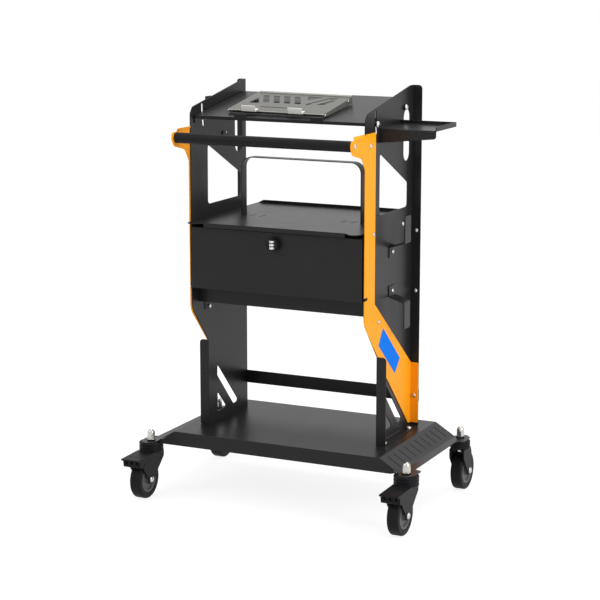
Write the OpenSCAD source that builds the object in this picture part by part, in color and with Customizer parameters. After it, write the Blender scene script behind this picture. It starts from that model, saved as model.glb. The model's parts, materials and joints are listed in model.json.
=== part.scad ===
// Diagnostic tool cart: two folded steel sides on a castered deck, with a lockable box between them,
// a tilting top shelf that carries a folding tablet stand, a side tray, a push handle and cord hooks.
// Millimetres. +X to the cart's right, +Y to its back, +Z up. The origin is on the floor, midway between
// the casters. Each piece is drawn where it sits.

/* [Sides] */
// Clear width between the two sides
side_gap = 464; // [440:2:500]
// Thickness of the sides' sheet steel
side_t = 2.5; // [2:0.5:3]
// How far the sides' front edge lies ahead of the cart's middle
side_front = 173; // [168:1:178]
// How far the sides' back face lies behind the cart's middle
side_back = 126; // [120:2:140]
// Height of the sides' top edge above the floor
side_top = 1043; // [1020:1:1080]
// How far below the box the sides' front edge starts to slope back
knee_drop = 11; // [6:1:20]
// Distance from the cart's middle to the folded front edge of the lower sides
leg_front = 91; // [85:1:100]
// Height of the sloping edge, from the folded leg up to where it starts
leg_drop = 96; // [88:1:106]
// Width of the flanges folded outward from the sides
flange_w = 23; // [18:1:28]

/* [Deck] */
// Half width of the deck's flat top
deck_half_x = 281.8; // [275:0.2:290]
// Half depth of the deck
deck_half_y = 187.5; // [182:0.5:195]
// Height of the deck's top face above the floor
deck_z = 172.7; // [168:0.1:180]
// Thickness of the deck's sheet steel
deck_t = 2; // [1.5:0.5:3]
// Height of the caster lips' top face above the floor
lip_z = 140.6; // [138:0.1:146]
// Width of each sloping side
slope_w = 52.2; // [46:0.2:58]
// Number of slots in each sloping side
slope_slots = 10; // [6:1:10]
// Spacing of those slots
slot_pitch = 33.8; // [28:0.2:34]
// Width of each slot
slot_w = 3.2; // [2:0.2:5]

/* [Casters] */
// Distance of the caster stems from the foot of the sloping sides
stem_out = 17.3; // [15:0.1:20]
// Half distance between the caster stems from front to back
stem_y = 183; // [178:1:186]
// Wheel diameter
wheel_d = 100; // [96:1:102]
// Wheel width
wheel_w = 30; // [28:1:31]
// How far a front wheel's axle lies from its stem
front_trail = 38; // [34:1:40]
// How far a back wheel's axle lies from its stem
back_trail = 18; // [14:1:22]
// Diameter of the swivel head
head_d = 62; // [58:1:63]
// Thickness of the fork's cheeks
fork_t = 3; // [2.5:0.5:3.5]
// Stem diameter
stem_d = 12; // [10:0.5:12]
// Length of the brake pedal ahead of the fork's head
pedal_reach = 110; // [104:1:114]

/* [Box] */
// How far the box's top plate lies below the sides' top edge
box_drop = 330; // [325:1:335]
// Height of the box
box_h = 210; // [205:1:214]
// Thickness of the box's sheet steel
box_t = 1.5; // [1:0.5:2]
// Thickness of the box's top plate
lid_t = 2; // [1.5:0.5:3]
// How far the box's back face lies behind the cart's middle
box_back = 186; // [176:1:190]
// How far the box's recessed lower front lies ahead of the cart's middle
box_recess = 135; // [130:1:140]
// How far the top plate's front edge lies ahead of the cart's middle
lid_front = 190; // [188:1:196]
// Height of the back lip of the top plate
lid_lip = 8; // [5:1:12]
// Height of the door's lower edge above the box's underside
door_lift = 44; // [42:1:46]
// Thickness of the door's sheet steel
door_t = 2; // [1.5:0.5:2]
// Gap between the top plate's front flange and the door's top edge
door_gap = 2.5; // [2:0.5:4]

/* [Top shelf] */
// Slope of the top shelf, its back edge the higher
shelf_tilt = 8.4; // [5:0.1:12]
// How far the shelf's pivot screws lie behind the cart's middle
pivot_y = 66; // [60:1:70]
// How far the shelf's pivot screws lie below the sides' top edge
pivot_drop = 51; // [43:1:58]
// Distance from the pivot screws to the clamping screws in the curved slots
clamp_r = 178; // [174:0.5:182]
// Thickness of the shelf's sheet steel
shelf_t = 2; // [1.5:0.5:2.5]
// Height of the shelf's top face above its screws
shelf_rise = 14; // [12:0.5:16]
// How far the shelf runs ahead of its pivot screws
shelf_ahead = 226; // [215:1:230]
// How far the shelf runs behind its pivot screws
shelf_behind = 48; // [40:1:52]
// Gap between the shelf and each side
shelf_gap = 1; // [0.6:0.1:1.5]

/* [Handle] */
// Diameter of the push handle
handle_d = 26; // [24:0.5:28]
// Distance of the handle's axis ahead of the cart's middle
handle_y = 241.5; // [238:0.5:246]
// How far the handle's axis lies below the sides' top edge
handle_drop = 117.5; // [113:0.5:123]
// Thickness of the orange cover plates
cover_t = 2; // [1.5:0.5:3]
// Width of the cover plates' upright strip
strip_w = 62; // [58:1:66]

/* [Side tray] */
// How far the tray's floor lies below the sides' top edge
tray_drop = 88; // [83:1:93]
// Length of the tray out from the side
tray_w = 146; // [120:1:160]
// Depth of the tray from front to back
tray_d = 134; // [110:1:140]
// Distance of the tray's front edge ahead of the cart's middle
tray_front = 92; // [88:1:96]
// Thickness of the tray's sheet steel
tray_t = 2; // [1.5:0.5:2.5]

/* [Hoop and hooks] */
// Half distance between the hoop's legs
hoop_half_x = 163.5; // [163:0.5:166]
// Height of the hoop above the box's top plate
hoop_h = 149; // [130:1:160]
// Width of the hoop's strip
hoop_w = 27; // [24:1:30]
// Thickness of the hoop's strip
hoop_t = 2; // [1.5:0.5:2.5]
// Distance of the hoop's middle ahead of the cart's middle
hoop_y = 22; // [18:1:26]
// How far the cord hooks stand out from the side
hook_out = 43; // [36:1:48]
// Width of the cord hooks
hook_w = 37; // [30:1:40]
// Length of the hooks' end plates
hook_l = 64; // [50:1:70]

/* [Tablet stand] */
// Width of the stand's plate
stand_w = 266; // [250:2:270]
// Depth of the stand's plate
stand_d = 154; // [150:1:158]
// Distance of the stand's middle to the left of the cart's middle
stand_x = 22.5; // [16:0.5:28]
// Angle at which the stand is turned on the shelf
stand_turn = 2.5; // [0:0.5:4]
// Thickness of the stand's sheet steel
stand_t = 1.6; // [1.2:0.1:2]
// Length of the folding prop
prop_l = 97; // [94:0.5:98]

/* [Hidden] */
$fn = 48;

// Small amount by which a cut runs past a face
cut = 1;
// Running clearance on a radius and the gap between pieces that pass each other
run = 0.06;
gap = 0.3;

// Heights above the floor, counted down from the sides' top edge
box_top = side_top - box_drop;
box_bottom = box_top - box_h;
door_bottom = box_bottom + door_lift;
side_knee = box_bottom - knee_drop;
leg_top = side_knee - leg_drop;
pivot_z = side_top - pivot_drop;
handle_z = side_top - handle_drop;
tray_z = side_top - tray_drop;

// Half widths, counted out from the deck's flat
slope_half_x = deck_half_x + slope_w;
stem_x = slope_half_x + stem_out;
lip_half_x = stem_x + 4.7;

// Sides
side_in = side_gap / 2;
side_out = side_in + side_t;
flange_out = side_out + flange_w;
cover_out = side_out + cover_t;
flange_mid = side_out + flange_w / 2;

// Powder coat, plated steel, rubber and the other finishes
black = [0.13, 0.13, 0.14];
orange = [1.0, 0.66, 0.2];
silver = [0.82, 0.82, 0.8];
grey = [0.5, 0.5, 0.47];
dark = [0.2, 0.2, 0.21];
pale = [0.88, 0.88, 0.84];

// An outline from points [x, y, corner radius], with each corner rounded by an arc
function unit(v) = v / norm(v);
function arc_corner(p, c, n, r, steps) =
    let(a = unit(p - c), b = unit(n - c), half = acos(a * b) / 2, mid = c + unit(a + b) * r / sin(half),
        from = c + a * r / tan(half) - mid, to = c + b * r / tan(half) - mid,
        a0 = atan2(from.y, from.x), turn = atan2(to.y, to.x) - a0,
        sweep = turn > 180 ? turn - 360 : turn < -180 ? turn + 360 : turn)
    [for (i = [0 : steps]) mid + r * [cos(a0 + sweep * i / steps), sin(a0 + sweep * i / steps)]];
function flat(p) = [p[0], p[1]];
function rounded(p, steps = 6) =
    [for (i = [0 : len(p) - 1])
        let(before = p[(i + len(p) - 1) % len(p)], after = p[(i + 1) % len(p)])
        each (p[i][2] == 0 ? [flat(p[i])] :
            arc_corner(flat(before), flat(p[i]), flat(after), p[i][2], steps))];
// The outline's left half and its mirror image
function both_halves(p) = concat(p, [for (i = [len(p) - 1 : -1 : 0]) [-p[i][0], p[i][1], p[i][2]]]);

// Flat sheet: a YZ outline extruded along X, an XZ outline along Y, and cylinders along each axis
module sheet_x(x0, t) translate([x0, 0, 0]) rotate([90, 0, 90]) linear_extrude(t) children();
module sheet_y(y0, t) translate([0, y0 + t, 0]) rotate([90, 0, 0]) linear_extrude(t) children();
module sheet_z(z0, t) translate([0, 0, z0]) linear_extrude(t) children();
module rod_x(x0, l, y, z, r) translate([x0, y, z]) rotate([0, 90, 0]) cylinder(h = l, r = r);
module rod_y(y0, l, x, z, r) translate([x, y0 + l, z]) rotate([90, 0, 0]) cylinder(h = l, r = r);
module rod_z(z0, l, x, y, r) translate([x, y, z0]) cylinder(h = l, r = r);
// A slot of length l with round ends
module obround(l, r) {
    square([l - 2 * r, 2 * r], center = true);
    for (s = [-1, 1])
        translate([s * (l / 2 - r), 0])
            circle(r);
}
// A domed screw head that stands on z = 0, with a washer face under it
module dome_head(r, h) {
    rotate_extrude()
        polygon(concat([[0, 0], [r, 0], [r, h * 0.3]],
            [for (a = [15 : 15 : 90]) [r * cos(a), h * 0.3 + h * 0.7 * sin(a)]]));
}
// A domed screw: its head's seat is at the origin, the head points up and the shank down
module dome_screw(r, head_r, head_h, l) {
    dome_head(head_r, head_h);
    translate([0, 0, -l])
        cylinder(h = l + cut / 2, r = r);
}
module mirrored_pair() {
    children();
    mirror([1, 0, 0])
        children();
}

// Height of the underside of the sides, which stand on the deck
foot_z = deck_z;
// Screws that hold the box between the sides, as [y, z]
box_fixings = [[-126, box_top - 9], [62, box_top - 9], [-90, box_bottom - 19]];
box_screw_r = 3;
// Screws through the back flanges: the box's back ears and the cross bar
ear_heights = [box_top - 33, box_bottom + 23];
bar_h = 34;
bar_low = deck_z + 64.3;
bar_high = bar_low + bar_h;
bar_mid = bar_low + bar_h / 2;
bar_t = 3;
flange_screw_r = 3;
// Bolts through the feet of the sides into the deck
foot_bolt_y = [-72, 88];
foot_bolt_r = 4;
// Clearance of a screw in its hole
hole_clear = 0.2;
// Screws of the shelf, and the ends of the curved slots that the front ones run in
shelf_screw_r = 4;
shelf_down = 6.5;
shelf_up = 9;
slot_clear = 0.6;
slot_spare = 0.2;
slot_low = shelf_tilt - shelf_up - slot_spare;
slot_high = shelf_tilt + shelf_down + slot_spare;
function shelf_point(r, a) = [pivot_y - r * cos(a), pivot_z - r * sin(a)];
// Cable slot near the back of each side
cable_slot_mid = [side_back - 43, side_top - 120];
cable_slot_l = 128;
cable_slot_r = 20;
// Fixing holes for accessories in both sides, as [y, z]
accessory_r = 3;
accessory_y = [-3, 19];
accessory_z = side_top - 128;
accessory_holes = [for (y = accessory_y) [y, accessory_z]];
// Window through each side
window_front = 88 - side_front;
window_back = side_back - 35;
window_low = box_top + 31;
window = [[window_front, side_top - 148.5, 6], [window_back, side_top - 238, 8],
    [window_back, window_low, 10], [window_front - 1, window_low, 10]];
// Slot and triangle through the lower side
leg_web_front = 47 - leg_front;
leg_slot = [[leg_web_front, deck_z + 151, 4], [leg_web_front - 1, deck_z + 121, 3],
    [45, deck_z + 24, 5], [72, deck_z + 29, 6]];
leg_triangle = [[leg_web_front, deck_z + 78, 3], [5, deck_z + 28, 4], [leg_web_front - 1, deck_z + 25, 3]];

module side_outline() {
    polygon(rounded([[-side_front, side_top - 64, 10], [-side_front + 12, side_top - 49, 10],
        [side_back - 20, side_top, 14], [side_back, side_top, 0], [side_back, foot_z, 0],
        [-leg_front, foot_z, 0], [-leg_front, leg_top, 0], [-side_front, side_knee, 45]]));
}
module curved_slot(r, low, high, half) {
    steps = 10;
    polygon(concat(
        [for (i = [0 : steps]) shelf_point(r + half, low + (high - low) * i / steps)],
        [for (a = [30 : 30 : 150])
            shelf_point(r, high) + half * [-cos(a + high), -sin(a + high)]],
        [for (i = [steps : -1 : 0]) shelf_point(r - half, low + (high - low) * i / steps)],
        [for (a = [210 : 30 : 330])
            shelf_point(r, low) + half * [-cos(a + low), -sin(a + low)]]));
}
module web_cut() {
    sheet_x(side_in - cut, side_t + 2 * cut)
        children();
}
module fixing_holes(r, places) {
    for (p = places)
        rod_x(side_in - cut, side_t + cover_t + 2 * cut, p[0], p[1], r + hole_clear);
}
module outer_flange(top) {
    polygon(rounded([[side_in, foot_z, 0], [flange_out, foot_z, 4],
        [flange_out, top, 9], [side_in, top, 0]]));
}
// One side, drawn on the cart's right: web, back flange, leg flange and foot
module side() {
    difference() {
        union() {
            difference() {
                sheet_x(side_in, side_t)
                    side_outline();
                for (opening = [window, leg_slot, leg_triangle])
                    web_cut()
                        polygon(rounded(opening));
                web_cut()
                    translate(cable_slot_mid)
                        rotate(90)
                            obround(cable_slot_l, cable_slot_r);
                web_cut()
                    curved_slot(clamp_r, slot_low, slot_high, shelf_screw_r + slot_clear);
            }
            sheet_y(side_back - side_t, side_t)
                outer_flange(side_top);
            sheet_y(-leg_front, side_t)
                outer_flange(leg_top);
            // Foot
            sheet_z(foot_z, side_t)
                polygon([[side_in, -leg_front], [flange_out - 2, -leg_front + 4],
                    [flange_out - 2, side_back - 4], [side_in, side_back]]);
        }
        fixing_holes(box_screw_r, box_fixings);
        fixing_holes(accessory_r, accessory_holes);
        fixing_holes(handle_screw_r, [lug_screw]);
        rod_x(side_in - cut, side_t + 2 * cut, pivot_y, pivot_z, shelf_screw_r + run);
        rod_x(side_in - cut, side_t + 2 * cut, door_axis_y, door_axis_z, hinge_r);
        for (z = concat(ear_heights, [bar_mid]))
            rod_y(side_back - side_t - cut, side_t + 2 * cut, flange_mid, z, flange_screw_r + hole_clear);
        for (y = foot_bolt_y)
            rod_z(foot_z - cut, side_t + 2 * cut, flange_mid, y, foot_bolt_r + hole_clear);
    }
}
module right_side() {
    color(black)
        difference() {
            side();
            fixing_holes(accessory_r, [for (z = hook_heights) [hook_mid, z]]);
            fixing_holes(accessory_r, [for (y = tray_screw_y) [y, tray_screw_z]]);
        }
}
module left_side() {
    color(black)
        mirror([1, 0, 0])
            side();
}

// Deck: a pan folded down at front and back, with slotted sloping sides and caster lips
tab_front = stem_y + 27;
tab_back = stem_y - 40;
tab_half = 10;
tab_out = 24;
module deck_section() {
    polygon([[-deck_half_x, deck_z], [deck_half_x, deck_z], [slope_half_x, lip_z],
        [slope_half_x, lip_z - deck_t], [deck_half_x - deck_t * 0.3, deck_z - deck_t],
        [-deck_half_x + deck_t * 0.3, deck_z - deck_t], [-slope_half_x, lip_z - deck_t],
        [-slope_half_x, lip_z]]);
}
module lip_outline() {
    front_half = [[slope_half_x - 2, -deck_half_y, 0], [stem_x - tab_half, -tab_front, 12],
        [stem_x + tab_half, -tab_front, 16], [stem_x + tab_out, -tab_front + 18, 12],
        [stem_x + tab_out, -tab_back, 8], [lip_half_x, -tab_back + 4, 6]];
    back_half = [for (i = [len(front_half) - 1 : -1 : 0])
        [front_half[i][0], -front_half[i][1], front_half[i][2]]];
    polygon(rounded(concat(front_half, back_half)));
}
// Plain metal between the slots and the slope's two edges
slot_in = 9;
slot_out = 10;
slot_first = -(slope_slots - 1) / 2 * slot_pitch - slot_w / 2;
module base_deck() {
    color(black)
        difference() {
            union() {
                sheet_y(-deck_half_y, 2 * deck_half_y)
                    deck_section();
                mirrored_pair()
                    sheet_z(lip_z - deck_t, deck_t)
                        lip_outline();
                for (y = [-deck_half_y, deck_half_y - deck_t])
                    sheet_y(y, deck_t)
                        polygon([[-deck_half_x, deck_z - deck_t / 2], [deck_half_x, deck_z - deck_t / 2],
                            [slope_half_x - 6, lip_z], [slope_half_x - 22, lip_z - 4],
                            [-slope_half_x + 22, lip_z - 4], [-slope_half_x + 6, lip_z]]);
            }
            mirrored_pair()
                for (i = [0 : slope_slots - 1])
                    translate([deck_half_x + slot_in, slot_first + i * slot_pitch, lip_z])
                        cube([slope_w - slot_in - slot_out, slot_w, deck_z - lip_z + cut]);
            mirrored_pair()
                for (y = [-stem_y, stem_y])
                    rod_z(lip_z - deck_t - cut, deck_t + 2 * cut, stem_x, y, stem_d / 2 + hole_clear);
            mirrored_pair()
                for (y = foot_bolt_y)
                    rod_z(deck_z - deck_t - cut, deck_t + 2 * cut, flange_mid, y, foot_bolt_r + hole_clear);
        }
}

// Orange cover plates on the outside of the sides, with the nose that carries the handle
strip_front = side_front + 4;
strip_rear = strip_front - strip_w;
nose_top = handle_z + 22;
lip_fold = 8;
flange_face = side_back - side_t - cover_t;
cover_low = deck_z + 10;
cover_step = leg_top - 56;
lug_screw = [-strip_rear - 31, handle_z - 8];
pin_slot_r = 4;
pin_slot_l = 29;
// The front part of the nose's top edge leans inward, ahead of the side's own front edge
lean_end = -side_front - 0.5;
lean_in = 3.5;
// Where the plate passes over the top of the leg's flange
over_leg = leg_top + 0.5;
behind_leg = -leg_front + side_t + gap;
module cover_outline() {
    polygon(rounded([[-strip_rear, nose_top, 2], [lean_end, nose_top, 0], [lean_end, nose_top - lip_fold, 0],
        [-handle_y + 2, nose_top - lip_fold, 0], [-handle_y - 17, nose_top - lip_fold, 9],
        [-handle_y - 22, handle_z - 2, 16], [-handle_y - 9, handle_z - 20, 8],
        [-strip_front - 20, handle_z - 33, 20], [-strip_front, handle_z - 62, 14],
        [-strip_front, side_knee - 2, 45], [-leg_front - 1, over_leg, 0], [behind_leg, over_leg, 0],
        [behind_leg, leg_top - 9.5, 0], [flange_face - 12, cover_low, 0],
        [flange_face + cover_t, cover_low, 0], [flange_face + cover_t, cover_step, 0],
        [-strip_rear, box_bottom + 30, 6]]));
}
pad_t = 1;
module cover_plate() {
    color(orange)
        difference() {
            union() {
                sheet_x(side_out, cover_t)
                    cover_outline();
                // Back flange, in front of the side's own flange
                sheet_y(flange_face, cover_t)
                    polygon(rounded([[side_out, cover_low, 0], [flange_out, cover_low, 3],
                        [flange_out, cover_step, 3], [side_out, cover_step, 0]]));
                sheet_y(-handle_y + 4, lean_end + handle_y - 4)
                    polygon([[side_out, nose_top - lip_fold - 0.5], [cover_out, nose_top - lip_fold - 0.5],
                        [cover_out - lean_in, nose_top], [side_out - lean_in, nose_top]]);
                // Raised pad round the handle's end
                sheet_x(cover_out - cut / 2, cut / 2 + pad_t)
                    polygon(rounded([[-handle_y - 13, handle_z + 10, 5],
                        [-strip_front - 12, handle_z + 10, 8], [-strip_front - 8, handle_z - 6, 8],
                        [-strip_front - 16, handle_z - 26, 3], [-handle_y - 10, handle_z - 12, 6]]));
            }
            fixing_holes(box_screw_r, [box_fixings[0], box_fixings[2]]);
            fixing_holes(handle_screw_r, [[-handle_y, handle_z], lug_screw]);
            rod_y(flange_face - cut, cover_t + 2 * cut, flange_mid, bar_mid, flange_screw_r + hole_clear);
            // Slot round the door's hinge pin
            translate([0, door_axis_y, door_axis_z])
                sheet_x(side_out - cut, cover_t + 2 * cut)
                    obround(pin_slot_l, pin_slot_r);
        }
}
module right_cover_plate() cover_plate();
module left_cover_plate() mirror([1, 0, 0]) cover_plate();
label_t = 0.4;
label_points = [[29, 68], [1, 29], [107, -63], [138, -29]];
module label_plate() {
    color([0.0, 0.47, 0.9])
        sheet_x(cover_out, label_t)
            polygon([for (p = label_points) p + [-leg_front, leg_top]]);
}

// Push handle: a tube between the two noses, with a plug in each end for its screw
handle_screw_r = 3;
handle_screw_l = 18;
handle_bore = 10;
plug_l = 24;
plug_wall = 4;
head_wide = 6;
head_high = 4;
module push_handle() {
    color(dark)
        difference() {
            rod_x(-side_out, 2 * side_out, -handle_y, handle_z, handle_d / 2);
            mirrored_pair()
                rod_x(side_out - plug_l, plug_l + cut, -handle_y, handle_z, handle_bore);
        }
}
module handle_end_plugs() {
    color(silver)
        mirrored_pair()
            difference() {
                rod_x(side_out - plug_l, plug_l, -handle_y, handle_z, handle_bore);
                rod_x(side_out - plug_l + plug_wall, plug_l, -handle_y, handle_z, handle_screw_r);
            }
}
module handle_screws() {
    color(silver)
        mirrored_pair() {
            translate([cover_out + pad_t, -handle_y, handle_z])
                rotate([0, 90, 0])
                    dome_screw(handle_screw_r, head_wide, head_high, handle_screw_l);
            translate([cover_out, lug_screw[0], lug_screw[1]])
                rotate([0, 90, 0])
                    dome_screw(handle_screw_r, head_wide, head_high, cover_t + side_t + 3);
        }
}

// Flat bar across the back of the legs
module rear_cross_bar() {
    color(black)
        difference() {
            sheet_y(side_back, bar_t)
                polygon(rounded([[-flange_out, bar_low, 3], [flange_out, bar_low, 3],
                    [flange_out, bar_high, 3], [-flange_out, bar_high, 3]]));
            for (x = [-flange_mid, flange_mid])
                rod_y(side_back - cut, bar_t + 2 * cut, x, bar_mid, flange_screw_r + hole_clear);
        }
}

// Storage box: a folded tray whose sides carry the top plate, open at the front above the recess
flange_h = 11;
door_front = lid_front - 9;
door_axis_y = -door_front + 9;
door_axis_z = door_bottom + 6;
door_top = box_top - flange_h - door_gap;
hinge_r = 3;
box_side = side_in - 0.2;
box_inner = box_side - box_t;
box_step = door_bottom + 2;
box_mouth = 150;
ear_w = 20;
module box_side_outline() {
    polygon(rounded([[-box_recess, box_bottom, 0], [-114, box_bottom, 0], [-109, box_bottom - 7, 4],
        [-109, box_bottom - 26, 5], [-76, box_bottom - 26, 6], [-30, box_bottom - 16, 6],
        [-22, box_bottom, 0], [box_back, box_bottom, 0],
        [box_back, box_top - lid_t, 0], [-box_mouth, box_top - lid_t, 4],
        [-box_mouth, box_step + 22, 4], [-box_recess, box_step + 8, 4]]));
}
module storage_box() {
    color(black)
        difference() {
            union() {
                mirrored_pair()
                    sheet_x(box_inner, box_t)
                        box_side_outline();
                translate([-box_side, -box_recess, box_bottom])
                    cube([2 * box_side, box_recess + box_back, box_t]);
                translate([-box_side, box_back - box_t, box_bottom])
                    cube([2 * box_side, box_t, box_top - lid_t - box_bottom]);
                translate([-box_side, -box_recess, box_bottom])
                    cube([2 * box_side, box_t, box_step - box_bottom - 6]);
                // Folded edge over the recess
                translate([-box_side, -box_recess, box_step - 6 - box_t])
                    cube([2 * box_side, 12, box_t]);
                // Ears behind the sides' back flanges
                mirrored_pair()
                    for (z = ear_heights)
                        translate([box_inner, side_back, z - ear_w / 2])
                            cube([flange_out - box_inner - 2, box_t, ear_w]);
            }
            mirrored_pair()
                for (p = box_fixings)
                    rod_x(box_inner - cut, box_t + 2 * cut, p[0], p[1], box_screw_r + hole_clear);
            mirrored_pair()
                for (z = ear_heights)
                    rod_y(side_back - cut, box_t + 2 * cut, flange_mid, z, flange_screw_r + hole_clear);
            for (z = hook_heights)
                rod_x(box_inner - cut, box_t + 2 * cut, hook_mid, z, accessory_r + hole_clear);
        }
}

// Top plate of the box: rounded front ears, a front flange and a back lip
ear_front = lid_front + 18;
lid_ear = 34;
hoop_slit = 19;
slit_w = 2.4;
slit_l = 15;
slit_places = [-139, -112, 112, 139];
module z_slit(x, y) {
    sheet_z(box_top - lid_t - cut, lid_t + 2 * cut)
        translate([x, y]) {
            translate([-slit_w, -slit_l])
                square([slit_w, slit_l + slit_w / 2]);
            translate([-slit_w, -slit_w / 2])
                square([2 * slit_w, slit_w]);
            translate([0, -slit_w / 2])
                square([slit_w, slit_l + slit_w / 2]);
        }
}
module box_top_plate() {
    color(black)
        difference() {
            union() {
                sheet_z(box_top - lid_t, lid_t)
                    polygon(rounded(both_halves([[-box_side, box_back + 3, 0], [-box_side, 14 - ear_front, 0],
                        [-box_side + 8, -ear_front, 10], [-box_side + lid_ear - 12, -ear_front, 14],
                        [-box_side + lid_ear + 6, -lid_front, 10]])));
                // Front flange between the ears
                translate([-box_side + lid_ear + 8, -lid_front, box_top - flange_h])
                    cube([2 * (box_side - lid_ear - 8), lid_t, flange_h - lid_t / 2]);
                // Back lip with sloping ends
                sheet_y(box_back + 3 - lid_t, lid_t)
                    polygon([[-box_side, box_top - lid_t / 2], [box_side, box_top - lid_t / 2],
                        [box_side - 18, box_top + lid_lip], [-box_side + 18, box_top + lid_lip]]);
            }
            for (x = slit_places)
                z_slit(x, -hoop_y);
            for (x = [-hoop_half_x, hoop_half_x])
                translate([x - hoop_t / 2 - 0.1, -hoop_y - hoop_slit / 2, box_top - lid_t - cut])
                    cube([hoop_t + 0.2, hoop_slit, lid_t + 2 * cut]);
        }
}
// Lip under the top plate that the lock's cam turns up behind
strike_y = -door_front + 13;
strike_t = 2;
strike_h = 21;
strike_w = 60;
strike_d = 16;
module strike_lip() {
    color(black)
        translate([-strike_w / 2, strike_y, box_top - lid_t]) {
            translate([0, 0, -strike_h])
                cube([strike_w, strike_t, strike_h]);
            translate([0, 0, -strike_t])
                cube([strike_w, strike_d, strike_t]);
        }
}

// Hoop that stands on the box: one bent strip whose tongues pass through the top plate
hoop_r = 27;
module hoop_profile(x, z, r) {
    polygon(rounded([[-x, box_top, 0], [x, box_top, 0], [x, z, r], [-x, z, r]]));
}
module device_hoop() {
    color(black) {
        sheet_y(-hoop_y - hoop_w / 2, hoop_w)
            difference() {
                hoop_profile(hoop_half_x + hoop_t / 2, box_top + hoop_h, hoop_r);
                translate([0, -cut])
                    hoop_profile(hoop_half_x - hoop_t / 2, box_top + hoop_h - hoop_t + cut, hoop_r - hoop_t);
            }
        for (s = [-1, 1])
            translate([s * hoop_half_x - hoop_t / 2, -hoop_y - hoop_slit / 2 + 0.5, box_top - lid_t - 8])
                cube([hoop_t, hoop_slit - 1, lid_t + 8.5]);
    }
}

// Cord hooks on the right side: a tab, a sloping arm and an end plate
hook_t = 2.5;
hook_mid = -7;
hook_heights = [box_top - 67.5, box_bottom + 44.5];
hook_rise = 13;
tab_h = 27;
module hook_section(s) {
    root = s * tab_h / 2;
    tip = root + s * hook_rise;
    polygon([[0, -root], [hook_t, -root], [hook_t, root - s * hook_t], [hook_out, tip - s * hook_t],
        [hook_out, tip + s * hook_l], [hook_out - hook_t, tip + s * hook_l], [hook_out - hook_t, tip],
        [0, root]]);
}
module cord_hook(z_tab, s) {
    tip = z_tab + s * (tab_h / 2 + hook_rise + hook_l);
    color(black)
        difference() {
            translate([side_out, 0, z_tab])
                sheet_y(hook_mid - hook_w / 2, hook_w)
                    hook_section(s);
            rod_x(side_out - cut, hook_t + 2 * cut, hook_mid, z_tab, accessory_r + hole_clear);
            // Corners of the end plate
            for (e = [-1, 1])
                translate([side_out + hook_out - hook_t / 2, hook_mid + e * hook_w / 2, tip])
                    rotate([45, 0, 0])
                        cube([hook_t + 2 * cut, 6, 6], center = true);
        }
}
module upper_cord_hook() cord_hook(hook_heights[0], 1);
module lower_cord_hook() cord_hook(hook_heights[1], -1);

// Side tray: a floor with lips at the back and the outer end, and a tapering front apron
apron_h = 35;
apron_tip = 20;
tray_lip = 9;
tray_x1 = side_out + tray_w;
tray_back = tray_d - tray_front;
tray_screw_z = tray_z - 17;
tray_screw_y = [-60, 20];
module side_tray() {
    color(black)
        difference() {
            union() {
                translate([side_out, -tray_front, tray_z - tray_t])
                    cube([tray_w, tray_d, tray_t]);
                translate([side_out, tray_back - tray_t, tray_z - tray_t])
                    cube([tray_w, tray_t, tray_lip + tray_t]);
                translate([tray_x1 - tray_t, -tray_front, tray_z - tray_t])
                    cube([tray_t, tray_d, tray_lip + tray_t]);
                sheet_y(-tray_front, tray_t)
                    polygon(rounded([[side_out, tray_z, 0], [side_out, tray_z - apron_h, 0],
                        [tray_x1 - 1, tray_z - apron_tip, 7], [tray_x1 - 1, tray_z, 0]]));
                // Fixing flange against the side
                translate([side_out, -tray_front, tray_z - apron_h])
                    cube([tray_t, tray_d, apron_h]);
            }
            for (y = tray_screw_y)
                rod_x(side_out - cut, tray_t + 2 * cut, y, tray_screw_z, accessory_r + hole_clear);
        }
}
// Moulded cable clip outside the left side: a plate held by its stud, and a curled top
clip_t = 2;
clip_out = 22;
clip_w = 30;
clip_curl = 10;
clip_h = 86;
clip_bend = 45;
clip_pad = 11;
clip_lean = 49;
clip_head_r = 5.5;
clip_head_h = 2.5;
module left_cable_clip() {
    stud = accessory_holes[0];
    front = stud[0] - clip_lean;
    back = front + clip_w;
    top = stud[1] + clip_h;
    bend = stud[1] + clip_bend;
    low = stud[1] - clip_pad;
    color(dark)
        mirror([1, 0, 0]) {
            sheet_x(side_out, clip_t)
                polygon(rounded([[front, top, 0], [front, bend, 8], [stud[0] - clip_pad, low, 6],
                    [stud[0] + clip_pad, low, 6], [stud[0] + clip_pad, stud[1] + clip_pad, 8],
                    [back, bend, 10], [back, top, 0]]));
            translate([side_out, front, top - cut])
                cube([clip_out, clip_w, clip_t]);
            translate([side_out + clip_out - clip_t, front, top - cut])
                cube([clip_t, clip_w, clip_curl]);
            rod_x(side_in - cut, side_t + 2 * cut, stud[0], stud[1], accessory_r);
            rod_x(side_in - clip_head_h, clip_head_h, stud[0], stud[1], clip_head_r);
        }
}

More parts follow.
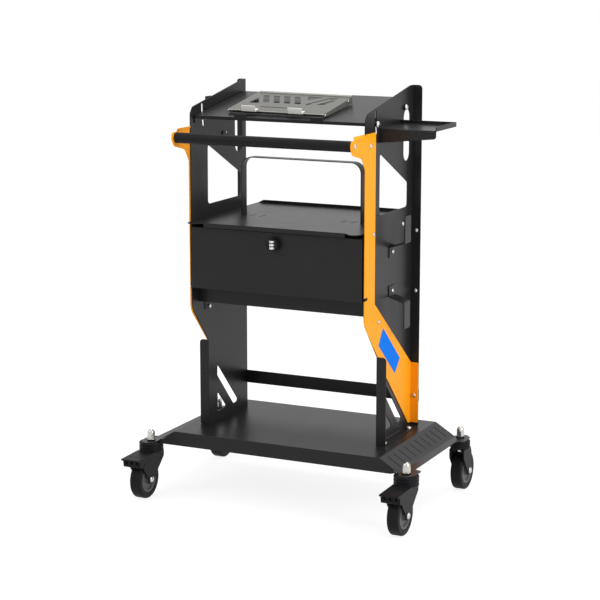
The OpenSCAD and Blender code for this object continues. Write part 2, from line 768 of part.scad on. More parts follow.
// Fasteners that hold the fixed pieces together
nut_r = 5.5;
nut_h = 4;
small_head_r = 5.5;
module through_screw(x_head, y, z, grip) {
    translate([x_head, y, z])
        rotate([0, 90, 0])
            dome_screw(box_screw_r, small_head_r, head_high, grip + nut_h);
    translate([x_head - grip - nut_h, y, z])
        rotate([0, 90, 0])
            difference() {
                cylinder(h = nut_h, r = nut_r, $fn = 6);
                translate([0, 0, -cut])
                    cylinder(h = nut_h + 2 * cut, r = box_screw_r - 0.5);
            }
}
module box_screws() {
    color(silver)
        mirrored_pair()
            for (p = box_fixings) {
                seat = p[0] < -strip_rear + 30 ? cover_out : side_out;
                through_screw(seat, p[0], p[1], seat - box_inner);
            }
}
module flange_screws() {
    color(silver)
        mirrored_pair() {
            for (z = ear_heights)
                translate([flange_mid, side_back - side_t, z])
                    rotate([90, 0, 0])
                        dome_screw(flange_screw_r, small_head_r, head_high, side_t + box_t + 4);
            translate([flange_mid, flange_face, bar_mid])
                rotate([90, 0, 0])
                    dome_screw(flange_screw_r, small_head_r, head_high, cover_t + side_t + bar_t + 4);
        }
}
module foot_bolts() {
    color(silver)
        mirrored_pair()
            for (y = foot_bolt_y)
                translate([flange_mid, y, foot_z + side_t])
                    dome_screw(foot_bolt_r, 7.5, 6, side_t + deck_t + 6);
}
module accessory_screws() {
    color(silver) {
        for (z = hook_heights)
            through_screw(side_out + hook_t, hook_mid, z, hook_t + side_out - box_inner);
        for (y = tray_screw_y)
            through_screw(side_out + tray_t, y, tray_screw_z, tray_t + side_t);
    }
}

// Door of the box: hinged low down on a pin through each side
door_half = box_inner - 0.5;
cheek_back = -door_front + 13;
module door_hinge_pins() {
    inner = door_half - box_t - cut;
    color(silver)
        mirrored_pair()
            union() {
                rod_x(inner, cover_out - cut - inner, door_axis_y, door_axis_z, hinge_r);
                translate([side_out, door_axis_y, door_axis_z])
                    rotate([0, 90, 0])
                        dome_head(pin_slot_r - gap, 3.5);
            }
}
module box_door() {
    color(black)
        difference() {
            union() {
                translate([-door_half, -door_front, door_bottom])
                    cube([2 * door_half, door_t, door_top - door_bottom]);
                // Top return
                translate([-door_half, -door_front, door_top - box_t])
                    cube([2 * door_half, 10, box_t]);
                // Side cheeks with the hinge lobes
                mirrored_pair()
                    sheet_x(door_half - box_t, box_t)
                        polygon(rounded([[-door_front + 1, door_bottom, 0],
                            [door_axis_y + 8, door_bottom, 6], [door_axis_y + 9, door_axis_z + 8, 5],
                            [cheek_back, door_axis_z + 30, 0], [cheek_back, door_top, 0],
                            [-door_front + 1, door_top, 0]]));
            }
            mirrored_pair()
                rod_x(door_half - box_t - cut, box_t + 2 * cut, door_axis_y, door_axis_z, hinge_r + run);
            rod_y(-door_front - cut, door_t + 2 * cut, 0, lock_z, collar_r + hole_clear);
        }
}

// Combination cam lock: collar and nut on the door, a turning knob with three dials, and its cam
lock_z = door_top - 27;
ring_r = 19.5;
ring_t = 3;
collar_r = 12;
collar_l = 9;
spindle_r = 9;
knob_r = 15.5;
knob_l = 15;
dial_r = 7.8;
dial_t = 5;
dial_pitch = 7.7;
dial_proud = 1.4;
dial_pin_r = 1.5;
stub_r = 4;
cam_t = 3;
cam_reach = 24;
cam_half = 9;
knob_front = -door_front - ring_t - gap - knob_l;
dial_y = knob_front + dial_r - dial_proud;
nut_y = -door_front + door_t;
collar_end = nut_y + collar_l;
cam_y = strike_y + strike_t + 0.5;
module lock_collar() {
    color(dark)
        difference() {
            union() {
                rod_y(-door_front - ring_t, ring_t, 0, lock_z, ring_r);
                rod_y(-door_front - cut, cut + door_t + collar_l, 0, lock_z, collar_r);
            }
            rod_y(knob_front, collar_end + cut - knob_front, 0, lock_z, spindle_r + run);
        }
}
module lock_nut() {
    color(silver)
        translate([0, nut_y + 4, lock_z])
            rotate([90, 0, 0])
                difference() {
                    cylinder(h = 4, r = collar_r + 5, $fn = 6);
                    translate([0, 0, -cut])
                        cylinder(h = 4 + 2 * cut, r = collar_r);
                }
}
module lock_knob() {
    color(dark) {
        difference() {
            union() {
                rod_y(knob_front, knob_l, 0, lock_z, knob_r);
                rod_y(knob_front, collar_end - knob_front, 0, lock_z, spindle_r);
                rod_y(-door_front, cam_y + cam_t + door_front, 0, lock_z, stub_r);
            }
            for (i = [-1 : 1])
                translate([-dial_r - gap, knob_front - cut, lock_z + i * dial_pitch - dial_t / 2 - gap])
                    cube([2 * (dial_r + gap), cut + 2 * dial_r - dial_proud + gap, dial_t + 2 * gap]);
        }
        rod_z(lock_z - 2 * dial_pitch, 4 * dial_pitch, 0, dial_y, dial_pin_r);
    }
}
module lock_cam() {
    color(silver)
        difference() {
            sheet_y(cam_y, cam_t)
                translate([0, lock_z])
                    polygon(rounded([[-cam_half, -cam_half, 6], [cam_reach, -cam_half, 4],
                        [cam_reach, cam_half, 4], [-cam_half, cam_half, 6]]));
            rod_y(cam_y - cut, cam_t + 2 * cut, 0, lock_z, stub_r);
        }
}
module lock_dial(i) {
    color(pale)
        translate([0, dial_y, lock_z + i * dial_pitch - dial_t / 2])
            difference() {
                cylinder(h = dial_t, r = dial_r);
                translate([0, 0, -cut])
                    cylinder(h = dial_t + 2 * cut, r = dial_pin_r + run);
                for (k = [0 : 9])
                    rotate(k * 36 + 18)
                        translate([0, -dial_r - 0.5, -cut])
                            cylinder(h = dial_t + 2 * cut, r = 0.9);
            }
}
module lock_dial_top() lock_dial(1);
module lock_dial_middle() lock_dial(0);
module lock_dial_bottom() lock_dial(-1);

// Top shelf, drawn level with its pivot screws at the origin and then tilted into place
shelf_x = side_in - shelf_gap;
apron_low = shelf_rise - 21;
front_h = 8;
stop_in = 85;
stop_out = 118.5;
stop_h = 8;
module on_shelf() translate([0, pivot_y, pivot_z]) rotate([shelf_tilt, 0, 0]) children();
module top_shelf() {
    color(black)
        on_shelf()
            difference() {
                union() {
                    translate([-shelf_x, -shelf_ahead, shelf_rise - shelf_t])
                        cube([2 * shelf_x, shelf_ahead + shelf_behind, shelf_t]);
                    translate([-shelf_x, -shelf_ahead, shelf_rise - front_h])
                        cube([2 * shelf_x, shelf_t, front_h]);
                    translate([-shelf_x, shelf_behind - shelf_t, shelf_rise - front_h])
                        cube([2 * shelf_x, shelf_t, front_h]);
                    for (s = [-1, 1])
                        sheet_y(-shelf_ahead, shelf_t)
                            polygon(rounded([[s * stop_in, shelf_rise - 1, 0],
                                [s * stop_out, shelf_rise - 1, 0], [s * stop_out, shelf_rise + stop_h, 2],
                                [s * stop_in, shelf_rise + stop_h, 2]]));
                    for (x = [-shelf_x, shelf_x - shelf_t])
                        sheet_x(x, shelf_t)
                            polygon(rounded([[2 - shelf_ahead, shelf_rise, 0],
                                [2 - shelf_ahead, apron_low, 5], [shelf_behind - 1, apron_low, 5],
                                [shelf_behind - 1, shelf_rise, 0]]));
                }
                for (y = [0, -clamp_r])
                    rod_x(-shelf_x - cut, 2 * shelf_x + 2 * cut, y, 0, shelf_screw_r);
            }
}
spacer_t = 3;
nut_l = 5.5;
module at_shelf_screws() {
    on_shelf()
        for (y = [0, -clamp_r])
            for (s = [-1, 1])
                translate([0, y, 0])
                    rotate([0, s * 90, 0])
                        children();
}
module shelf_screws() {
    seat = side_out + gap + spacer_t;
    inside = shelf_x - shelf_t;
    color(silver)
        at_shelf_screws() {
            translate([0, 0, seat])
                dome_screw(shelf_screw_r, 7.5, 6, seat - inside + nut_l + 1.5);
            translate([0, 0, inside - nut_l])
                cylinder(h = nut_l, r = 7.5, $fn = 6);
        }
}
module shelf_spacers() {
    color(dark)
        at_shelf_screws()
            translate([0, 0, side_out + gap])
                difference() {
                    cylinder(h = spacer_t, r = 7);
                    translate([0, 0, -cut])
                        cylinder(h = spacer_t + 2 * cut, r = shelf_screw_r);
                }
}

// Tablet stand on the shelf: base, hinged plate with hooks, and the prop folded under the plate
hinge_y = -187.5;
hinge_up = 5.4;
plate_top = 4.6;
plate_slope = 2.9;
base_t = 2;
pin_r = 1.4;
lobe_r = 2.8;
plate_front = -6;
plate_back = plate_front + stand_d;
stand_half = stand_w / 2;
side_wall = 1.5;
prop_y = plate_back - 24;
prop_half = stand_half - stand_t - 0.5;
base_half = prop_half - side_wall - 0.6;
foot_r = 2.2;
module on_stand() {
    on_shelf()
        translate([-stand_x, hinge_y, shelf_rise + hinge_up])
            rotate([0, 0, -stand_turn])
                children();
}
module on_plate() on_stand() rotate([plate_slope, 0, 0]) children();
module stand_base() {
    color(grey)
        on_stand()
            difference() {
                union() {
                    sheet_z(-hinge_up, base_t)
                        difference() {
                            polygon(rounded(both_halves([[-base_half, plate_back - 8, 8],
                                [-base_half, -5, 3]])));
                            polygon(rounded(both_halves([[-base_half + 46, plate_back - 26, 8],
                                [-base_half + 30, 18, 8]])));
                            // Notches for the foot of the prop
                            for (s = [-1, 1])
                                for (k = [0 : 3])
                                    translate([s * (base_half - 16), 36 + 8 * k])
                                        obround(12, 1.2);
                        }
                    for (x = [-base_half, base_half - side_wall])
                        sheet_x(x, side_wall)
                            union() {
                                circle(lobe_r);
                                translate([-lobe_r, -hinge_up])
                                    square([2 * lobe_r, hinge_up]);
                            }
                }
                rod_x(-base_half - cut, 2 * base_half + 2 * cut, 0, 0, pin_r);
            }
}
module lean_slot(x, y, lean, w, h) {
    polygon(rounded([[x, y, 1.5], [x + w, y, 1.5], [x + w + lean, y + h, 1.5], [x + lean, y + h, 1.5]], 3));
}
module plate_pattern() {
    translate([-23, 29])
        obround(76, 2.5);
    polygon(rounded([[-110, 57, 2], [-80, 60, 2], [-105, 105, 2]], 3));
    for (k = [0 : 3])
        lean_slot(-73 + 29.3 * k, 67, -30, 17, 58);
    polygon(rounded([[34, 100, 2], [62, 131, 2], [18, 133, 2]], 3));
    lean_slot(42, 65, 38, 10, 64);
    polygon(rounded([[72, 68, 2], [94, 73, 2], [106, 112, 2], [97, 112, 2]], 3));
    polygon(rounded([[84, 118, 1.5], [100, 121, 1.5], [104, 134, 1.5], [94, 134, 1.5]], 3));
}
module stand_plate() {
    color(grey)
        on_plate()
            difference() {
                union() {
                    sheet_z(plate_top - stand_t, stand_t)
                        difference() {
                            polygon(rounded([[-stand_half, plate_front, 3], [stand_half, plate_front, 3],
                                [stand_half, plate_back, 3], [-stand_half, plate_back, 3]]));
                            plate_pattern();
                        }
                    for (x = [-stand_half, stand_half - stand_t])
                        sheet_x(x, stand_t)
                            polygon(rounded([[plate_front + 2, plate_top, 0], [plate_front + 2, -2.6, 2],
                                [6, -4.2, 3], [plate_back - 1, -11.6, 3], [plate_back - 1, plate_top, 0]]));
                    translate([-stand_half + 8, plate_back - stand_t, plate_top - stand_t])
                        cube([stand_w - 8, stand_t, stand_t + 5]);
                }
                rod_x(-stand_half - cut, stand_w + 2 * cut, 0, 0, pin_r + run);
                rod_x(-stand_half - cut, stand_w + 2 * cut, prop_y, 0, pin_r);
            }
}
catch_places = [-72, 56];
catch_w = 38;
catch_t = 1.6;
catch_h = 13;
catch_d = 13;
module stand_hooks() {
    color(pale)
        on_plate()
            for (x = catch_places)
                sheet_x(x - catch_w / 2, catch_w)
                    translate([plate_front, plate_top])
                        polygon(rounded([[-4, -2, 1], [-0.3, -2, 0], [-0.3, 0, 0], [catch_d, 0, 0],
                            [catch_d, catch_t, 0], [-catch_t, catch_t, 1.4], [-catch_t - 1, catch_h, 0.6],
                            [-5, catch_h, 0.6]]));
}
// A pin through the stand's wall, with its head outside, on both sides
module stand_pin(inner, outer) {
    for (s = [-1, 1])
        rotate([0, s * 90, 0]) {
            translate([0, 0, inner])
                cylinder(h = outer - inner + 0.5, r = pin_r);
            translate([0, 0, outer])
                dome_head(3.4, 2.2);
        }
}
module stand_hinge_pins() {
    color(silver)
        on_stand()
            stand_pin(base_half - side_wall - 2, stand_half + gap);
}
module prop_pins() {
    color(silver)
        on_plate()
            translate([0, prop_y, 0])
                stand_pin(prop_half - side_wall - 2, stand_half);
}
module stand_prop() {
    color(grey)
        on_plate()
            translate([0, prop_y, 0])
                difference() {
                    union() {
                        for (x = [-prop_half, prop_half - side_wall])
                            sheet_x(x, side_wall)
                                union() {
                                    circle(2.7);
                                    polygon([[0, -2.7], [0, 2.7], [-prop_l, foot_r], [-prop_l, -foot_r]]);
                                }
                        rod_x(-prop_half, 2 * prop_half, -prop_l, 0, foot_r);
                    }
                    rod_x(-prop_half - cut, 2 * prop_half + 2 * cut, 0, 0, pin_r + run);
                }
}

// Casters: stem and cap nut on the deck; swivel head, fork, axle, wheel and tyre below
head_top = lip_z - deck_t;
head_h = 26;
head_r = head_d / 2;
back_head_r = head_r - 5;
stem_show = 5;
fork_in = wheel_w / 2 + 2.4;
fork_out = fork_in + fork_t;
axle_z = wheel_d / 2;
axle_r = 5;
crown_z = head_top - head_h;
pedal_axis_y = -44;
pedal_axis_z = crown_z - 7.6;
pedal_pin_r = 3;
stem_r = stem_d / 2;
flange_r = stem_r + 8;
stem_head_r = stem_r + 4;
stem_above = 22;
washer_t = 4;
hex_h = 13;
dome_h = 13;
module at_stem(sx, sy) translate([sx * stem_x, sy * stem_y, 0]) children();
module at_each_stem() {
    for (sx = [-1, 1])
        for (sy = [-1, 1])
            at_stem(sx, sy)
                children();
}
module caster_stems() {
    color(silver)
        at_each_stem() {
            rod_z(crown_z - 5, head_h + 5 + deck_t + stem_above, 0, 0, stem_r);
            rod_z(crown_z - 8, 4, 0, 0, stem_head_r);
            rod_z(head_top - 1.6, 1.6, 0, 0, flange_r);
        }
}
module caster_cap_nuts() {
    color(silver)
        at_each_stem()
            translate([0, 0, lip_z])
                difference() {
                    union() {
                        cylinder(h = washer_t, r = stem_r + 4.6);
                        translate([0, 0, washer_t])
                            cylinder(h = hex_h, r = stem_r + 5, $fn = 6);
                        translate([0, 0, washer_t + hex_h - 0.5])
                            dome_head(stem_r + 3.6, dome_h);
                    }
                    translate([0, 0, -cut])
                        cylinder(h = stem_above + cut, r = stem_r);
                }
}
// Fork: a grooved swivel head and two cheeks that reach the axle. The front one carries the brake ahead of it
cheek_top = crown_z + 0.4;
axle_edge = axle_z - 12;
module front_cheek() {
    polygon(rounded([[head_r - 2, cheek_top, 0], [head_r - 2, axle_z + 46, 12],
        [-front_trail + 33, axle_z + 15, 12], [-front_trail + 10, axle_edge, 9],
        [-front_trail - 8, axle_edge, 8], [-front_trail - 14, axle_z + 6, 8],
        [pedal_axis_y - 32, crown_z - 26, 4], [pedal_axis_y - 26, crown_z - 17, 4],
        [pedal_axis_y - 8, crown_z - 2.6, 6], [-head_r + 1, crown_z, 0], [-head_r + 1, cheek_top, 0]]));
}
module back_cheek() {
    polygon(rounded([[back_head_r - 1, cheek_top, 0], [back_head_r - 1, axle_z + 40, 14],
        [-back_trail + 15, axle_z + 2, 8], [-back_trail + 8, axle_edge, 8], [-back_trail - 8, axle_edge, 8],
        [-back_trail - 15, axle_z + 4, 8], [-back_head_r - 6, axle_z + 46, 12],
        [-back_head_r + 1, cheek_top, 0]]));
}
groove = 1.5;
module swivel_head(r, top) {
    grooves = [for (share = [0.3, 0.65]) each [[r, share * top], [r - groove, share * top + groove],
        [r, share * top + 2 * groove]]];
    translate([0, 0, crown_z])
        rotate_extrude()
            polygon(concat([[0, 0], [r - 2, 0], [r, 2]], grooves,
                [[r, top - groove], [r - groove, top], [0, top]]));
}
module fork(sx, sy) {
    front = sy < 0;
    trail = front ? front_trail : back_trail;
    r = front ? head_r : back_head_r;
    top = front ? head_h - gap : head_h - stem_show;
    across = 2 * fork_out + cut;
    color(dark)
        at_stem(sx, sy)
            rotate([0, 0, front ? 0 : 180])
                difference() {
                    union() {
                        swivel_head(r, top);
                        for (x = [-fork_out, fork_in])
                            sheet_x(x, fork_t)
                                if (front)
                                    front_cheek();
                                else
                                    back_cheek();
                        translate([-fork_out, -r + 8, crown_z - 2])
                            cube([2 * fork_out, 2 * r - 16, 3]);
                    }
                    // Pocket round the stem and its head
                    rod_z(crown_z - 4, head_h + 10, 0, 0, stem_r + run);
                    rod_z(head_top - 2, 4, 0, 0, flange_r + gap);
                    rod_z(crown_z - 10, 10 - 3.7, 0, 0, stem_head_r + gap);
                    rod_x(-across / 2, across, -trail, axle_z, axle_r);
                    if (front)
                        rod_x(-across / 2, across, pedal_axis_y, pedal_axis_z, pedal_pin_r + run);
                }
}
module at_axle(sx, sy) {
    at_stem(sx, sy)
        translate([0, sy < 0 ? -front_trail : back_trail, axle_z])
            rotate([0, 90, 0])
                children();
}
module axle(sx, sy) {
    color(silver)
        at_axle(sx, sy) {
            translate([0, 0, -fork_out])
                cylinder(h = 2 * fork_out, r = axle_r);
            for (s = [0, 1])
                mirror([0, 0, s])
                    translate([0, 0, fork_out])
                        dome_head(8, 5.5);
        }
}
hub_r = 34;
hub_boss_r = 12;
module wheel(sx, sy) {
    half = wheel_w / 2;
    bore = axle_r + run;
    color(grey)
        at_axle(sx, sy)
            rotate_extrude()
                polygon([[bore, -half - 1.6], [hub_boss_r, -half - 1.6], [hub_boss_r + 1, -half + 4],
                    [hub_r - 8, -half + 5], [hub_r - 6, -half + 1], [hub_r, -half + 1], [hub_r, half - 1],
                    [hub_r - 6, half - 1], [hub_r - 8, half - 5], [hub_boss_r + 1, half - 4],
                    [hub_boss_r, half + 1.6], [bore, half + 1.6]]);
}
shoulder_r = 5;
module tyre(sx, sy) {
    half = wheel_w / 2;
    r = wheel_d / 2;
    color(dark)
        at_axle(sx, sy)
            rotate_extrude($fn = 96)
                polygon(concat([[hub_r, -half + 1], [hub_r + 3, -half]],
                    [for (a = [0 : 18 : 90])
                        [r - shoulder_r + shoulder_r * sin(a), -half + shoulder_r - shoulder_r * cos(a)]],
                    [for (a = [90 : -18 : 0])
                        [r - shoulder_r + shoulder_r * sin(a), half - shoulder_r + shoulder_r * cos(a)]],
                    [[hub_r + 3, half], [hub_r, half - 1]]));
}
module fork_front_left() fork(-1, -1);
module fork_front_right() fork(1, -1);
module fork_back_left() fork(-1, 1);
module fork_back_right() fork(1, 1);
module axle_front_left() axle(-1, -1);
module axle_front_right() axle(1, -1);
module axle_back_left() axle(-1, 1);
module axle_back_right() axle(1, 1);
module wheel_front_left() wheel(-1, -1);
module wheel_front_right() wheel(1, -1);
module wheel_back_left() wheel(-1, 1);
module wheel_back_right() wheel(1, 1);
module tyre_front_left() tyre(-1, -1);
module tyre_front_right() tyre(1, -1);
module tyre_back_left() tyre(-1, 1);
module tyre_back_right() tyre(1, 1);

// Brake pedal: a tread ahead of the fork and a shoe over the tyre, on a pin through the cheeks
pedal_half = fork_in - 0.5;
tread_half = 25;
tread_top = crown_z + 5.4;
tread_under = tread_top - 4.6;
arm_end = -82;
module brake_pedal(sx) {
    tip = -pedal_reach;
    color(dark)
        at_stem(sx, -1)
            difference() {
                union() {
                    // Arm and shoe between the cheeks
                    sheet_x(-pedal_half, 2 * pedal_half)
                        polygon(rounded([[pedal_axis_y + 6, tread_top - 1, 0],
                            [pedal_axis_y + 6, crown_z - 10.8, 2], [pedal_axis_y - 6, crown_z - 11.3, 2],
                            [pedal_axis_y - 22, crown_z - 17.2, 0], [pedal_axis_y - 29, crown_z - 17.6, 2],
                            [arm_end, crown_z - 14, 0], [arm_end, tread_top - 1, 0]]));
                    // Tread with its overhanging front edge
                    sheet_x(-tread_half, 2 * tread_half)
                        polygon(rounded([[pedal_axis_y + 22, tread_top, 0], [tip, tread_top - 2, 1.6],
                            [tip, tread_top - 6, 1.6], [tip + 10, tread_top - 7, 2],
                            [tip + 13, crown_z - 20, 4], [arm_end, crown_z - 21, 3],
                            [arm_end, crown_z - 15, 2], [arm_end + 8, crown_z - 11, 2],
                            [pedal_axis_y - 8, tread_under, 3], [pedal_axis_y + 22, tread_under, 0]]));
                    rod_x(-fork_out, 2 * fork_out, pedal_axis_y, pedal_axis_z, pedal_pin_r);
                }
                // Room for the swivel head
                rod_z(crown_z, head_h, 0, 0, head_r + 1.8);
                // Recesses in the front face
                for (x = [-15, 0, 15])
                    translate([x, 0, 0])
                        sheet_y(tip + 6, 10)
                            polygon([[-5, tread_top - 9], [5, tread_top - 9], [0, tread_top - 19]]);
            }
}
module brake_pedal_left() brake_pedal(-1);
module brake_pedal_right() brake_pedal(1);

base_deck();
left_side();
right_side();
left_cover_plate();
right_cover_plate();
label_plate();
push_handle();
handle_end_plugs();
handle_screws();
rear_cross_bar();
storage_box();
box_top_plate();
strike_lip();
device_hoop();
upper_cord_hook();
lower_cord_hook();
side_tray();
left_cable_clip();
box_screws();
flange_screws();
foot_bolts();
accessory_screws();
door_hinge_pins();
caster_stems();
caster_cap_nuts();
box_door();
lock_collar();
lock_nut();
lock_knob();
lock_cam();
lock_dial_top();
lock_dial_middle();
lock_dial_bottom();
top_shelf();
shelf_screws();
shelf_spacers();
stand_base();
stand_plate();
stand_hooks();
stand_hinge_pins();
stand_prop();
prop_pins();
fork_front_left();
fork_front_right();
fork_back_left();
fork_back_right();
axle_front_left();
axle_front_right();
axle_back_left();
axle_back_right();
wheel_front_left();
wheel_front_right();
wheel_back_left();
wheel_back_right();
tyre_front_left();
tyre_front_right();
tyre_back_left();
tyre_back_right();
brake_pedal_left();
brake_pedal_right();
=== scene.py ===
"""Dresses the diagnostic tool cart: folded sheet steel, casters, lock, handle and tablet stand."""

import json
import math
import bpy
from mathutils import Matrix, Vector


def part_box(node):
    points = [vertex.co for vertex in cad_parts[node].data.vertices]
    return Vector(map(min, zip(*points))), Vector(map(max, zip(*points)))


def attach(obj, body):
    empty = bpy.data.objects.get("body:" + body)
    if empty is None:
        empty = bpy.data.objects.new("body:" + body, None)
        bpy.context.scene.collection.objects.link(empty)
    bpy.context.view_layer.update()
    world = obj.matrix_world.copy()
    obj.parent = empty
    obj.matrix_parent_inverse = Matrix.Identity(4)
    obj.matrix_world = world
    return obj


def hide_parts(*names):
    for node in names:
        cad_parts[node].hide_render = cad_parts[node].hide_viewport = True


bl_info = {
    "name": "Diagnostic tool cart",
    "version": (1, 0, 0),
    "blender": (4, 5, 0),
    "location": "View3D > Sidebar > Tool cart",
    "description": "Finishes and fine shapes of a workshop cart with a lockable box and a tablet stand",
    "category": "Object",
}

import bmesh
import bpy
from mathutils import Matrix, Vector

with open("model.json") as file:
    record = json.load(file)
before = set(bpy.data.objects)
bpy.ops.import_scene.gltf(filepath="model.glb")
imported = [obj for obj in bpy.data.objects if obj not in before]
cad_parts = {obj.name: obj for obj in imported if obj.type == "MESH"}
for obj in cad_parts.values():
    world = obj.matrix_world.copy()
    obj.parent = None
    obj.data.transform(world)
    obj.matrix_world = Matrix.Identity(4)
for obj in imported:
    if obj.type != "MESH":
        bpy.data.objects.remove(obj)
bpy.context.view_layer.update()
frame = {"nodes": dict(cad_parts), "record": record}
BODY_OF = {node: body for body, nodes in frame["record"]["behaviour"]["bodies"].items() for node in nodes}
MM = 0.001

# Height of the washer under a cap nut, height of the lip at the back of the stand's plate, how far back the plate's
# turned front edge reaches, and the part of a face's normal along Y from which it counts as turned to the front. The
# plate's lip and turned front edge get a painted highlight
WASHER = 3.2 * MM
STAND_LIP = 4.6 * MM
STAND_FRONT = 14 * MM
FACES_FRONT = -0.7

# Rounding: vertices nearer than MERGE are one, and faces that turn less than FLAT_ANGLE degrees are one. Edges that
# turn more than SHARP_ANGLE are rounded, unless another edge leaves their end at less than SLIVER_ANGLE, or one that
# turns off by less than CHAIN_ANGLE is too short: a rounding may take NEIGHBOUR_SHARE of its length. A piece that
# leaves its node's box by more than SLACK is made again with the next of WIDTH_SHARES, a share of its roundings.
MERGE = 0.002 * MM
FLAT_ANGLE = 0.6
SHARP_ANGLE = 28
SLIVER_ANGLE = 12
CHAIN_ANGLE = 150
NEIGHBOUR_SHARE = 0.45
SLACK = 0.1 * MM
WIDTH_SHARES = (1, 0.5, 0.25, 0)

# Where a numeral's foot stands, as shares of its height, how deep it is sunk in the dial, and how many tenths each
# dial is turned
NUMERAL_FOOT = (-0.28, 0, -0.35)
NUMERAL_SINK = 0.2 * MM
DIAL_TENTHS = {"top": 3, "middle": 7, "bottom": 1}

# Stage: the point that the camera looks at, the floor, and each lamp's place, aim, size and watts
LOOKS_AT = (-0.01772, 0, 0.501)
SENSOR = 36
FLOOR_REACH = 14
FLOOR_GLOW = 1.21
FLOOR_GLOW_SHARE = 0.7
LAMPS = {
    "Key": ((-2.2, -2.6, 2.8), (0, 0, 0.5), (1.6, 1.6), 30),
    "Top": ((0.3, 0.5, 3.4), (0, 0, 0.5), (2.2, 1.6), 45),
    "Right": ((3.2, -0.8, 1.6), (0, 0, 0.6), (1.2, 2.2), 52),
}

SHEETS = (
    "base_deck", "left_side", "right_side", "rear_cross_bar", "storage_box", "box_top_plate", "strike_lip",
    "device_hoop", "upper_cord_hook", "lower_cord_hook", "side_tray", "box_door", "top_shelf")
CORNERS = ("front_left", "front_right", "back_left", "back_right")
FASTENERS = (
    "handle_screws", "box_screws", "flange_screws", "foot_bolts", "accessory_screws", "shelf_screws",
    "stand_hinge_pins", "prop_pins", "caster_stems", "caster_cap_nuts", "lock_nut", "lock_cam")


# Finishes

class CartFinish(bpy.types.PropertyGroup):
    """Colours and gloss of the cart's finishes."""
    black: bpy.props.FloatVectorProperty(
        name="Black coat", description="Colour of the black powder coat", subtype="COLOR", size=3,
        default=(0.012, 0.012, 0.013), min=0, max=1)
    orange: bpy.props.FloatVectorProperty(
        name="Orange coat", description="Colour of the cover plates", subtype="COLOR", size=3,
        default=(0.96, 0.36, 0.008), min=0, max=1)
    stand: bpy.props.FloatVectorProperty(
        name="Stand coat", description="Colour of the tablet stand", subtype="COLOR", size=3,
        default=(0.145, 0.143, 0.132), min=0, max=1)
    zinc: bpy.props.FloatVectorProperty(
        name="Zinc", description="Colour of the plated screws and nuts", subtype="COLOR", size=3,
        default=(0.6, 0.59, 0.56), min=0, max=1)
    # The hooks' own colour, also used as the painted highlight on the stand plate's lip and front edge
    hook: bpy.props.FloatVectorProperty(
        name="Stand hooks", description="Colour of the hooks on the tablet stand", subtype="COLOR", size=3,
        default=(0.84, 0.83, 0.79), min=0, max=1)
    label: bpy.props.FloatVectorProperty(
        name="Label", description="Colour of the bare label plate", subtype="COLOR", size=3,
        default=(0.0, 0.18, 0.8), min=0, max=1)
    coat_rough: bpy.props.FloatProperty(
        name="Coat roughness", description="Roughness of the powder coats", subtype="FACTOR",
        default=0.34, min=0.05, max=1)


class CartDetail(bpy.types.PropertyGroup):
    """Sizes of the fine shapes."""
    fold_round: bpy.props.FloatProperty(
        name="Fold radius", description="Outer radius of the folds in the sheet steel", subtype="DISTANCE",
        default=2.4 * MM, min=0.2 * MM, max=4 * MM)
    edge_round: bpy.props.FloatProperty(
        name="Edge radius", description="Radius of the cut edges of sheet and mouldings", subtype="DISTANCE",
        default=0.45 * MM, min=0.1 * MM, max=1 * MM)
    wide_face: bpy.props.FloatProperty(
        name="Wide face", description="Width from which a face counts as sheet and not as a cut edge",
        subtype="DISTANCE", default=5 * MM, min=3 * MM, max=12 * MM)


class CartStage(bpy.types.PropertyGroup):
    """Camera, lamps and floor."""
    azimuth: bpy.props.FloatProperty(
        name="Azimuth", description="Camera's turn round the cart in degrees", default=25.458)
    elevation: bpy.props.FloatProperty(
        name="Elevation", description="Camera's height above the level in degrees", default=11.143)
    distance: bpy.props.FloatProperty(
        name="Distance", description="From the camera to the point it looks at", subtype="DISTANCE",
        default=4.6367)
    lens: bpy.props.FloatProperty(
        name="Focal length", description="On a 36 mm sensor, in millimetres", default=110.03)
    sky: bpy.props.FloatProperty(
        name="Sky", description="Strength of the even light from all round", default=0.55, min=0, max=2)
    lamps: bpy.props.FloatProperty(
        name="Lamps", description="Strength of the soft lamps together", default=1.0, min=0, max=4)


def new_material(name):
    """A new material, its node tree and its Principled shader."""
    material = bpy.data.materials.new(name)
    material.use_nodes = True
    tree = material.node_tree
    return material, tree, tree.nodes["Principled BSDF"]


